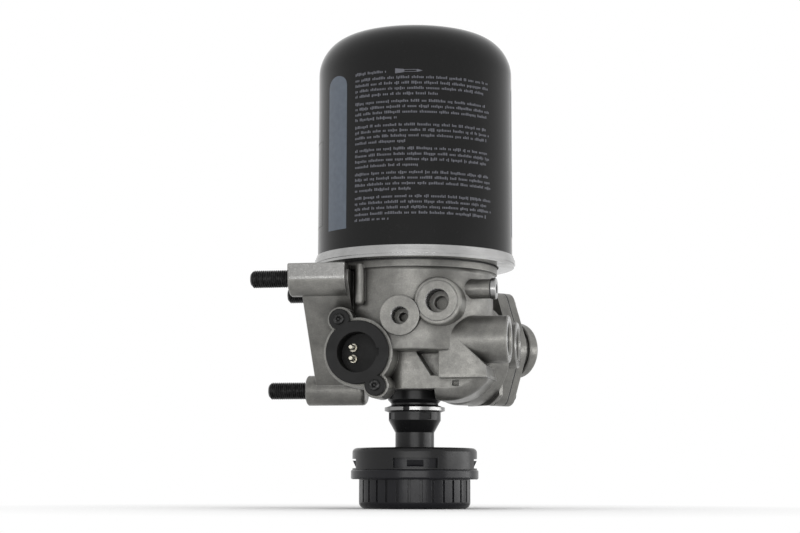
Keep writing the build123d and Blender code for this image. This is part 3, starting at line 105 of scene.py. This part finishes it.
# Floor, light and camera
FLOOR_HALF, FLOOR_WHITE_FROM, FLOOR_WHITE_TO = 3.0, 0.12, 0.36
LIT_POINT, SKY_LEVEL = Vector((0, 0, 0.13)), 0.55
CAMERA_PLACE, CAMERA_LENS = (0.2184, -1.1808, 0.0152), 77.77
CAMERA_AZIMUTH, CAMERA_TILT, CAMERA_ROLL = 10.98, 7.25, 0.15


def lowest(node):
    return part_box(node)[0]


def highest(node):
    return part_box(node)[1]


CAN_RADIUS = highest("cartridge_can").x


# Meshes

def new_piece(name, points, faces, paint, slot, smooth=True):
    """A mesh piece that rides on the dryer's body."""
    mesh = bpy.data.meshes.new(name)
    mesh.from_pydata([tuple(p) for p in points], [], faces)
    mesh.validate()
    mesh.materials.append(paint)
    if smooth:
        mesh.shade_smooth()
    piece = bpy.data.objects.new(name, mesh)
    scene.collection.objects.link(piece)
    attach(piece, BODY)
    return piece


def skin(rings, closed_ends=True):
    """Joins rings of points, each with as many points, into a surface."""
    count = len(rings[0])
    points = [point for ring in rings for point in ring]
    faces = []
    for row in range(len(rings) - 1):
        low, high = row * count, (row + 1) * count
        for i in range(count):
            j = (i + 1) % count
            faces.append((low + i, low + j, high + j, high + i))
    if closed_ends:
        faces.append(tuple(range(count - 1, -1, -1)))
        faces.append(tuple(range(len(points) - count, len(points))))
    else:
        last = len(points) - count
        faces += [(last + i, last + (i + 1) % count, (i + 1) % count, i) for i in range(count)]
    return points, faces


def along(origin, axis):
    """A frame whose Z axis is the given direction."""
    turn = Vector(axis).to_track_quat("Z", "Y").to_matrix().to_4x4()
    return Matrix.Translation(origin) @ turn


def ridge(turns):
    """Height of a thread's flank, from 0 at the root to 1 at the crest, at a number of turns."""
    share = turns % 1.0
    return min(1.0, max(0.0, 1.25 - abs(share - 0.5) * 3.4))


def ring(place, z, radius_at, sides=THREAD_SIDES):
    """Points around an axis at one height. radius_at gives the radius at an angle."""
    angles = [tau * side / sides for side in range(sides)]
    return [place @ Vector((radius_at(a) * cos(a), radius_at(a) * sin(a), z)) for a in angles]


def thread_heights(foot, top):
    """Heights from foot to top, close enough to show each turn."""
    rows = round((top - foot) / PITCH * STEPS_PER_TURN)
    return [foot + (top - foot) * row / rows for row in range(rows + 1)]


def stud(name, mount, paint):
    """The free end of a stud with its real thread, a relief at the foot and a chamfered tip."""
    place = along(MOUNTS[mount]["pos_m"], MOUNTS[mount]["axis"])
    half = MOUNTS[mount]["dims"]["length_mm"] * MM / 2
    foot, tip = -half - STUD_RELIEF - STUD_HIDDEN, half + STUD_TIP - STUD_TRIM

    def radius_at(angle, z):
        limit = min(STUD_RADIUS, STUD_RADIUS - (STUD_TIP - (tip - z)))
        if z < -half:
            limit = STUD_RADIUS - THREAD_DEPTH
        return min(STUD_RADIUS - THREAD_DEPTH * (1 - ridge(z / PITCH - angle / tau)), limit)

    rings = [ring(place, z, lambda angle: radius_at(angle, z)) for z in thread_heights(foot, tip)]
    return new_piece(name, *skin(rings), paint, "stud_black")


def port_thread(name, mount, paint):
    """A thin threaded sleeve in a port's bore. Its ridge fades out towards both ends."""
    outer = MOUNTS[mount]["dims"]["r_mm"] * MM - PORT_THREAD_WALL
    half = MOUNTS[mount]["dims"]["length_mm"] * MM / 2
    place = along(MOUNTS[mount]["pos_m"], MOUNTS[mount]["axis"])
    foot, top = -half, half - PORT_LEAD

    def radius_at(angle, z):
        rise = min(1.0, (top - z) / (LEAD_TURNS * PITCH), (z - foot) / PITCH)
        return outer - PORT_THREAD_WALL - PORT_THREAD_DEPTH * rise * ridge(z / PITCH - angle / tau)

    rings = [ring(place, z, lambda angle: radius_at(angle, z)) for z in thread_heights(foot, top)]
    rings += [ring(place, z, lambda angle: outer) for z in (top, foot)]
    return new_piece(name, *skin(rings, closed_ends=False), paint, "turned_aluminium")


def screw_head(name, seat, axis, sizes, paint):
    """A round head with a six-lobed recess."""
    radius, height, edge, recess = sizes
    place = along(seat, axis)
    floor_z = height * (1 - STAR_DEPTH_SHARE)

    def star(size, z, wave=0.0):
        return ring(place, z, lambda angle: size * (1 + wave * cos(STAR_LOBES * angle)), SCREW_SIDES)

    rings = [star(radius * SCREW_FOOT, 0), star(radius, 0)]
    for step in range(ROUND_STEPS + 1):
        angle = pi / 2 * step / ROUND_STEPS
        rings.append(star(radius - edge * (1 - cos(angle)), height - edge * (1 - sin(angle))))
    rings += [star(recess * STAR_MOUTH, height, STAR_WAVE / 2),
              star(recess, height - STAR_CHAMFER, STAR_WAVE),
              star(recess * STAR_TAPER, floor_z, STAR_WAVE),
              star(recess * STAR_POINT, floor_z - STAR_CONE)]
    return new_piece(name, *skin(rings), paint, "screw_black")


def plug_screw_heads(paint):
    """The two screws in the heater plug's ears, one up on the left and one down on the right."""
    low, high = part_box("plug_screws")
    radius, height = PLUG_HEAD[:2]
    seat = low.y + height
    places = ((low.x + radius, seat, high.z - radius), (high.x - radius, seat, low.z + radius))
    return [screw_head(f"plug_screw_{i}", place, (0, -1, 0), PLUG_HEAD, paint)
            for i, place in enumerate(places, 1)]


# Print on the can

def on_can(degrees_from_x, height, lift):
    angle = radians(degrees_from_x)
    radius = CAN_RADIUS + lift
    return Vector((radius * cos(angle), radius * sin(angle), height))


def can_patch(columns, points, faces):
    """Adds a thin closed plate on the can. Each column gives its angle, foot and top."""
    start = len(points)
    for angle, foot, top in columns:
        points += [on_can(angle, foot, -PRINT_SINK), on_can(angle, top, -PRINT_SINK),
                   on_can(angle, top, PRINT_LIFT), on_can(angle, foot, PRINT_LIFT)]
    for i in range(len(columns) - 1):
        a, b = start + 4 * i, start + 4 * (i + 1)
        for k in range(4):
            n = (k + 1) % 4
            faces.append((a + k, b + k, b + n, a + n))
    last = start + 4 * (len(columns) - 1)
    faces += [(start, start + 1, start + 2, start + 3), (last + 3, last + 2, last + 1, last)]


def stripe(name, left, paint):
    """An upright field of colour with a rounded top."""
    columns = []
    for i in range(STRIPE_COLUMNS + 1):
        share = i / STRIPE_COLUMNS
        across = 2 * share - 1
        top = STRIPE_TOP - STRIPE_ROUND * (1 - sqrt(max(0.0, 1 - across * across)))
        columns.append((left + STRIPE_WIDTH * share, STRIPE_FOOT, top))
    points, faces = [], []
    can_patch(columns, points, faces)
    return new_piece(name, points, faces, paint, "can_black", smooth=False)


def degrees_of(length):
    return length / CAN_RADIUS * 180 / pi


def text_line(left, right, base, chance, points, faces):
    """One row of small plain marks, grouped like words. They spell nothing."""
    position, letters_left = left, chance.randint(2, 10)
    while position < right:
        width = MARK_WIDTH * chance.uniform(0.75, 1.15)
        height = HIGH_MARK if chance.random() < 0.3 else LOW_MARK
        drop = 0.45 * MM if chance.random() < 0.1 else 0.0
        end = position + degrees_of(width)
        foot, top = base - drop, base + height
        can_patch([(position, foot, top), (end, foot, top)], points, faces)
        letters_left -= 1
        position = end + degrees_of(MARK_GAP)
        if letters_left == 0:
            position += degrees_of(WORD_GAP)
            letters_left = chance.randint(2, 10)


def frame_lines(left, right, foot, top, line, points, faces, steps=24):
    """An outlined rectangle on the can."""
    for low, high in ((foot, foot + line), (top - line, top)):
        columns = [(left + (right - left) * i / steps, low, high) for i in range(steps + 1)]
        can_patch(columns, points, faces)
    for side in (left, right - degrees_of(line)):
        can_patch([(side, foot, top), (side + degrees_of(line), foot, top)], points, faces)


def tool_sign(middle, points, faces):
    """A small outlined bar with a block at its left end and a point at its right end."""
    head, point = BAR_LEFT + SIGN_HEAD, BAR_RIGHT - SIGN_POINT
    frame_lines(head, point, middle - BAR_HALF, middle + BAR_HALF, SIGN_LINE, points, faces, SIGN_STEPS)
    for ends in (((BAR_LEFT, 2 * BAR_HALF), (head, 1.3 * BAR_HALF)),
                 ((point, 1.2 * BAR_HALF), (BAR_RIGHT, SIGN_LINE / 4))):
        can_patch([(angle, middle - half, middle + half) for angle, half in ends], points, faces)


def print_text(paint):
    chance = random.Random(7)
    points, faces = [], []
    base = TEXT_TOP
    text_line(TEXT_LEFT, HEADER_RIGHT, base, chance, points, faces)
    tool_sign(base + SIGN_RISE, points, faces)
    base -= LINE_PITCH + PARAGRAPH_GAP / 2
    for lines in PARAGRAPHS:
        for line in range(lines):
            shortest, longest = (0.2, 0.6) if line == lines - 1 else (0.93, 1.0)
            reach = (TEXT_RIGHT - TEXT_LEFT) * chance.uniform(shortest, longest)
            text_line(TEXT_LEFT, TEXT_LEFT + reach, base, chance, points, faces)
            base -= LINE_PITCH
        base -= PARAGRAPH_GAP
    return new_piece("print_text", points, faces, paint, "can_black", smooth=False)


def print_panel(paint):
    points, faces = [], []
    frame_lines(PANEL_LEFT, PANEL_RIGHT, PANEL_FOOT, PANEL_TOP, PANEL_LINE, points, faces)
    return new_piece("print_panel", points, faces, paint, "can_black", smooth=False)


# Materials

class Paint:
    """A material on one principled shader, with short calls for its texture nodes."""

    def __init__(self, name, colour, roughness, metallic=0.0, specular=0.5):
        self.material = bpy.data.materials.new(name)
        self.material.use_nodes = True
        self.tree = self.material.node_tree
        self.shader = self.tree.nodes["Principled BSDF"]
        self.set("Base Color", (*colour, 1))
        self.set("Roughness", roughness)
        self.set("Metallic", metallic)
        self.set("Specular IOR Level", specular)
        self.place = self.node("ShaderNodeTexCoord").outputs["Object"]
        self.axes = self.node("ShaderNodeSeparateXYZ", {"Vector": self.place}).outputs

    def node(self, kind, inputs=None, **settings):
        node = self.tree.nodes.new(kind)
        for key, value in settings.items():
            setattr(node, key, value)
        for key, value in (inputs or {}).items():
            self.feed(node.inputs[key], value)
        return node

    def feed(self, socket, value):
        if isinstance(value, bpy.types.NodeSocket):
            self.tree.links.new(value, socket)
        else:
            socket.default_value = value

    def set(self, name, value):
        self.feed(self.shader.inputs[name], value)

    def noise(self, scale, detail=3.0, rough=0.55, stretch=None):
        place = self.place
        if stretch:
            mapping = self.node("ShaderNodeMapping", {"Vector": place, "Scale": stretch})
            place = mapping.outputs["Vector"]
        inputs = {"Vector": place, "Scale": scale, "Detail": detail, "Roughness": rough}
        return self.node("ShaderNodeTexNoise", inputs).outputs["Fac"]

    def spread(self, value, low, high, to_low=0.0, to_high=1.0):
        inputs = {"Value": value, "From Min": low, "From Max": high}
        inputs.update({"To Min": to_low, "To Max": to_high})
        return self.node("ShaderNodeMapRange", inputs).outputs["Result"]

    def math(self, operation, first, second=0.0):
        node = self.node("ShaderNodeMath", operation=operation)
        self.feed(node.inputs[0], first)
        self.feed(node.inputs[1], second)
        return node.outputs[0]

    def mix(self, factor, first, second):
        node = self.node("ShaderNodeMix", data_type="RGBA")
        self.feed(node.inputs[0], factor)
        self.feed(node.inputs[6], first)
        self.feed(node.inputs[7], second)
        return node.outputs[2]

    def bump(self, height, strength, distance, normal=None):
        inputs = {"Height": height, "Strength": strength, "Distance": distance}
        if normal is not None:
            inputs["Normal"] = normal
        return self.node("ShaderNodeBump", inputs).outputs["Normal"]

    def soft_edge(self, radius):
        return self.node("ShaderNodeBevel", {"Radius": radius}, samples=6).outputs["Normal"]

    def edge_mask(self, soft_normal, gain):
        """Bright where the softened normal turns away from the true one: along edges."""
        true_normal = self.node("ShaderNodeNewGeometry").outputs["Normal"]
        dot = self.node("ShaderNodeVectorMath", operation="DOT_PRODUCT")
        self.feed(dot.inputs[0], soft_normal)
        self.feed(dot.inputs[1], true_normal)
        return self.spread(dot.outputs["Value"], 1.0, 1.0 - gain)

    def painted_corner_shade(self, reach):
        """Painted shade: 0 in tight corners, where shade falls, and 1 on open faces."""
        openness = self.node("ShaderNodeAmbientOcclusion", {"Distance": reach}, samples=6)
        return self.spread(openness.outputs["AO"], 0.25, 0.85)

    def radius(self):
        """Distance from the dryer's axis."""
        squares = [self.math("MULTIPLY", self.axes[axis], self.axes[axis]) for axis in "XY"]
        return self.math("SQRT", self.math("ADD", *squares))

    def above(self, value, limit, blur=0.05 * MM):
        return self.spread(value, limit - blur, limit + blur)

    def below(self, value, limit, blur=0.05 * MM):
        return self.spread(value, limit + blur, limit - blur)


def grey(value, warm=0.0):
    return (value * (1 + warm / 4), value, value * (1 - warm), 1)


def casting(name, machined=None):
    """Sand-textured aluminium with soft edges, a painted highlight along the edges that is partly wear,
    and painted shade in tight corners. The machined mask picks bright turned faces.
    """
    paint = Paint(name, (0.2, 0.193, 0.185), 0.4, metallic=0.7, specular=0.3)
    mottle = paint.spread(paint.noise(48, 6, 0.65), 0.36, 0.64)
    grain = paint.spread(paint.noise(1300, 2, 0.6), 0.3, 0.7)
    soft = paint.soft_edge(0.9 * MM)
    colour = paint.mix(mottle, grey(0.15, 0.06), grey(0.26, 0.07))
    colour = paint.mix(paint.math("MULTIPLY", grain, 0.4), colour, grey(0.09, 0.04))
    # Painted highlight along the edges, partly edge wear: the edges are lightened towards grey 0.5.
    edge_highlight_and_wear = paint.math("MULTIPLY", paint.edge_mask(soft, 0.35), 0.6)
    colour = paint.mix(edge_highlight_and_wear, colour, grey(0.5, 0.02))
    # Painted shade: the casting turns dark in tight corners.
    colour = paint.mix(paint.painted_corner_shade(7 * MM), grey(0.055, 0.08), colour)
    rough = paint.spread(paint.noise(240, 3), 0.25, 0.75, 0.28, 0.44)
    normal = paint.bump(paint.noise(160, 3, 0.6), 0.15, 1.0 * MM, soft)
    normal = paint.bump(paint.noise(1300, 2, 0.7), 0.5, 0.14 * MM, normal)
    if machined:
        mask = machined(paint)
        colour = paint.mix(mask, colour, grey(0.25, 0.03))
        rough = paint.math("SUBTRACT", rough, paint.math("MULTIPLY", mask, 0.12))
    paint.set("Base Color", colour)
    paint.set("Roughness", rough)
    paint.set("Normal", normal)
    return paint.material


def housing_machined(paint):
    """Faces that are milled after casting: port rims, stud faces and the flange's top."""
    x, y, z = paint.axes["X"], paint.axes["Y"], paint.axes["Z"]
    corner = lowest("housing")
    mask = paint.below(y, corner.y + MILLED_SKIN)
    mask = paint.math("MAXIMUM", mask, paint.above(x, MILLED_X))
    mask = paint.math("MAXIMUM", mask, paint.below(x, corner.x + MILLED_SKIN))
    gasket_foot, gasket_radius = lowest("cartridge_gasket").z, highest("cartridge_gasket").x
    disc = paint.below(paint.radius(), gasket_radius + MILLED_RIM)
    disc = paint.math("MULTIPLY", paint.above(z, gasket_foot - 0.1 * MM), disc)
    return paint.math("MAXIMUM", mask, disc)


def can_paint():
    """Gloss black over drawn sheet, with the faint waviness of sprayed paint."""
    paint = Paint("can_black", (0.004, 0.004, 0.0045), 0.16)
    paint.set("IOR", 1.3)
    lighter_share = paint.spread(paint.noise(420, 4, 0.6), 0.62, 0.78)
    lighter_share = paint.math("MULTIPLY", lighter_share, 0.25)
    paint.set("Base Color", paint.mix(lighter_share, grey(0.0045), grey(0.03)))
    paint.set("Roughness", paint.spread(paint.noise(30, 4), 0.3, 0.7, 0.13, 0.2))
    paint.set("Normal", paint.bump(paint.noise(110, 2), 0.05, 0.4 * MM))
    return paint.material


def print_paint(name, colour):
    paint = Paint(name, colour, 0.4, specular=0.25)
    second_tone = (*[c * 0.86 for c in colour], 1)
    paint.set("Base Color", paint.mix(paint.spread(paint.noise(260, 4), 0.35, 0.65), (*colour, 1), second_tone))
    return paint.material


def sheet_metal(name, value, roughness, scratch=0.5):
    """Bright metal with fine marks that run around the dryer's axis."""
    paint = Paint(name, (value, value, value * 0.98), roughness, metallic=1.0)
    lines = paint.noise(900, 2, 0.6, stretch=(0.06, 0.06, 1.0))
    blotch = paint.spread(paint.noise(70, 4), 0.3, 0.7)
    paint.set("Base Color", paint.mix(blotch, grey(value * 0.8, 0.01), grey(value, 0.01)))
    paint.set("Roughness", paint.spread(lines, 0.2, 0.8, roughness * 0.8, roughness * 1.35))
    soft = paint.soft_edge(0.25 * MM)
    paint.set("Normal", paint.bump(lines, scratch * 0.3, 0.05 * MM, soft))
    return paint.material


def plastic(name, value, roughness, grain, tint=0.0, edge=0.3 * MM, index=1.3):
    """Moulded plastic: fine texture, softened edges, slight change of gloss."""
    paint = Paint(name, (value, value, value * (1 + tint)), roughness)
    paint.set("IOR", index)
    soft = paint.soft_edge(edge)
    # Lighter along the edges: there the base colour is mixed towards four times its value.
    lighter_share = paint.math("MULTIPLY", paint.edge_mask(soft, 0.5), 0.35)
    base = (value, value, value * (1 + tint), 1)
    second_tone = (value * 4, value * 4, value * 4 * (1 + tint), 1)
    paint.set("Base Color", paint.mix(lighter_share, base, second_tone))
    smudge = paint.noise(90, 4)
    paint.set("Roughness", paint.spread(smudge, 0.3, 0.7, roughness * 0.85, roughness * 1.15))
    paint.set("Normal", paint.bump(paint.noise(1800, 2, 0.6), grain, 0.06 * MM, soft))
    return paint.material


def oxide(name):
    """Black oxide on steel threads: dark, with bare metal glinting on the crests."""
    paint = Paint(name, (0.03, 0.03, 0.03), 0.38, metallic=0.9)
    rub = paint.spread(paint.noise(500, 4, 0.6), 0.45, 0.75)
    paint.set("Base Color", paint.mix(rub, grey(0.02), grey(0.07)))
    paint.set("Roughness", paint.spread(paint.noise(800, 3), 0.3, 0.7, 0.3, 0.5))
    paint.set("Normal", paint.bump(paint.noise(1500, 2), 0.15, 0.05 * MM))
    return paint.material


def grained(name, colour, roughness, scale, depth, metallic=0.0):
    """Inner pieces: a plain stock with its own grain."""
    paint = Paint(name, colour, roughness, metallic=metallic)
    grain = paint.noise(scale, 3)
    low = (*[c * 0.8 for c in colour], 1)
    paint.set("Base Color", paint.mix(paint.spread(grain, 0.3, 0.7), low, (*colour, 1)))
    paint.set("Normal", paint.bump(grain, depth, 0.1 * MM))
    return paint.material


def make_paints():
    return {
        "cast_aluminium": casting("cast_aluminium"),
        "can_black": can_paint(),
        "seam_steel": sheet_metal("seam_steel", 0.4, 0.2),
        "plated_steel": sheet_metal("plated_steel", 0.36, 0.3),
        "clip_steel": sheet_metal("clip_steel", 0.28, 0.26, 0.2),
        "turned_aluminium": sheet_metal("turned_aluminium", 0.38, 0.25),
        "spring_steel": grained("spring_steel", (0.4, 0.4, 0.4), 0.3, 900, 0.1, metallic=1.0),
        "pin_metal": grained("pin_metal", (0.42, 0.4, 0.34), 0.3, 700, 0.05, metallic=1.0),
        "stud_black": oxide("stud_black"),
        "screw_black": oxide("screw_black"),
        "plug_plastic": plastic("plug_plastic", 0.008, 0.5, 0.3),
        "silencer_plastic": plastic("silencer_plastic", 0.008, 0.3, 0.15, tint=0.06, index=1.33),
        "cap_plastic": plastic("cap_plastic", 0.008, 0.26, 0.08, tint=0.25),
        "rubber_black": grained("rubber_black", (0.02, 0.02, 0.02), 0.6, 600, 0.2),
        "inner_plastic": grained("inner_plastic", (0.6, 0.6, 0.56), 0.45, 500, 0.1),
        "desiccant": grained("desiccant", (0.75, 0.72, 0.66), 0.8, 260, 0.9),
        "filter_fibre": grained("filter_fibre", (0.7, 0.67, 0.58), 0.9, 420, 0.8),
    }


def dress(paints):
    """Gives every CAD node the material of its slot."""
    slots = {part["node"]: part["material_slot"] for part in frame["record"]["subparts"]}
    for name, node in frame["nodes"].items():
        node.data.materials.clear()
        node.data.materials.append(paints[slots[name]])
    frame["nodes"]["housing"].data.materials[0] = casting("housing_casting", housing_machined)


# Pieces with detail finer than the solids

def detail(paints):
    studs = [stud("stud_thread_" + name, "stud_" + name, paints["stud_black"])
             for name in ("front", "rear", "lower")]
    for piece in studs:
        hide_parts("mounting_studs")
    for piece in plug_screw_heads(paints["screw_black"]):
        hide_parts("plug_screws")
    for mount in PORTS:
        port_thread("thread_" + mount, mount, paints["turned_aluminium"])
    for i, start in enumerate(STRIPE_STARTS, 1):
        stripe(f"print_stripe_{i}", start, print_paint(f"print_blue_{i}", (0.1, 0.118, 0.145)))
    for node, body in SPRINGS:
        coils(node, paints["spring_steel"])
    print_text(print_paint("print_grey", (0.12, 0.122, 0.14)))
    print_panel(print_paint("print_line", (0.05, 0.05, 0.045)))


def coils(node, paint):
    """A copy of a spring in its own paint, which takes the place of the hidden CAD spring."""
    mesh = frame["nodes"][node].data.copy()
    mesh.materials.clear()
    mesh.materials.append(paint)
    piece = bpy.data.objects.new(node + "_coils", mesh)
    scene.collection.objects.link(piece)
    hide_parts(node)
    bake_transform(piece)


# Surroundings

def floor():
    """A pale floor that keeps the dryer's shadow and turns to plain white further out."""
    corners = [(x * FLOOR_HALF, y * FLOOR_HALF, 0) for x, y in ((-1, -1), (1, -1), (1, 1), (-1, 1))]
    mesh = bpy.data.meshes.new("floor")
    mesh.from_pydata(corners, [], [(0, 1, 2, 3)])
    paint = Paint("floor_pale", (0.93, 0.93, 0.93), 0.9, specular=0.0)
    far = paint.spread(paint.radius(), FLOOR_WHITE_FROM, FLOOR_WHITE_TO)
    far = paint.math("MULTIPLY", far, seen_rays(paint.tree))
    glow = paint.node("ShaderNodeEmission", {"Color": (1, 1, 1, 1), "Strength": 1.0}).outputs[0]
    mixer = paint.node("ShaderNodeMixShader")
    paint.feed(mixer.inputs[0], far)
    paint.feed(mixer.inputs[1], paint.shader.outputs[0])
    paint.feed(mixer.inputs[2], glow)
    out = paint.tree.nodes["Material Output"]
    paint.tree.links.new(mixer.outputs[0], out.inputs["Surface"])
    mesh.materials.append(paint.material)
    piece = bpy.data.objects.new("floor", mesh)
    scene.collection.objects.link(piece)


def soft_box(name, place, width, height, radiance, mirrored=True):
    """A panel light that faces the dryer. One that isn't mirrored stays out of glossy surfaces."""
    data = bpy.data.lights.new(name, "AREA")
    data.shape, data.size, data.size_y = "RECTANGLE", width, height
    data.energy = radiance * pi * width * height
    lamp = bpy.data.objects.new(name, data)
    lamp.location = place
    lamp.rotation_euler = (LIT_POINT - Vector(place)).to_track_quat("-Z", "Y").to_euler()
    lamp.visible_glossy = mirrored
    scene.collection.objects.link(lamp)


def lights():
    soft_box("front", (0.196, -1.235, 0.078), 1.1, 0.14, 8.0)
    soft_box("right", (1.24, 0.17, 0.11), 1.4, 0.2, 5.2)
    soft_box("left", (-1.0, -0.7, 0.5), 0.7, 0.7, 1.6, mirrored=False)
    soft_box("top", (0.1, -0.1, 1.3), 0.8, 0.8, 3.2, mirrored=False)


def seen_rays(tree):
    """1 for the rays that show the background: to the camera, in mirrors and through glass."""
    rays = tree.nodes.new("ShaderNodeLightPath").outputs
    total = rays["Is Camera Ray"]
    for ray in ("Is Glossy Ray", "Is Transmission Ray"):
        larger = tree.nodes.new("ShaderNodeMath")
        larger.operation = "MAXIMUM"
        tree.links.new(total, larger.inputs[0])
        tree.links.new(rays[ray], larger.inputs[1])
        total = larger.outputs[0]
    return total


def world():
    """White where it is seen, and a dimmer even sky for the light itself."""
    sky = bpy.data.worlds.new("studio")
    sky.use_nodes = True
    tree = sky.node_tree
    background = tree.nodes["Background"]
    background.inputs["Color"].default_value = (1, 1, 1, 1)
    level = tree.nodes.new("ShaderNodeMapRange")
    level.inputs["To Min"].default_value = SKY_LEVEL
    level.inputs["To Max"].default_value = 1.0
    tree.links.new(seen_rays(tree), level.inputs["Value"])
    tree.links.new(level.outputs["Result"], background.inputs["Strength"])
    scene.world = sky


def camera():
    data = bpy.data.cameras.new("camera")
    data.sensor_width, data.lens = 36.0, CAMERA_LENS
    data.clip_start, data.clip_end = 0.01, 20
    view = bpy.data.objects.new("camera", data)
    view.location = CAMERA_PLACE
    turn = Matrix.Identity(3)
    for angle, axis in ((CAMERA_AZIMUTH, "Z"), (90 + CAMERA_TILT, "X"), (CAMERA_ROLL, "Z")):
        turn = turn @ Matrix.Rotation(radians(angle), 3, axis)
    view.rotation_euler = turn.to_euler()
    scene.collection.objects.link(view)
    scene.camera = view


scene.view_settings.view_transform = "Standard"
paints = make_paints()
dress(paints)
detail(paints)
floor()
lights()
world()
camera()
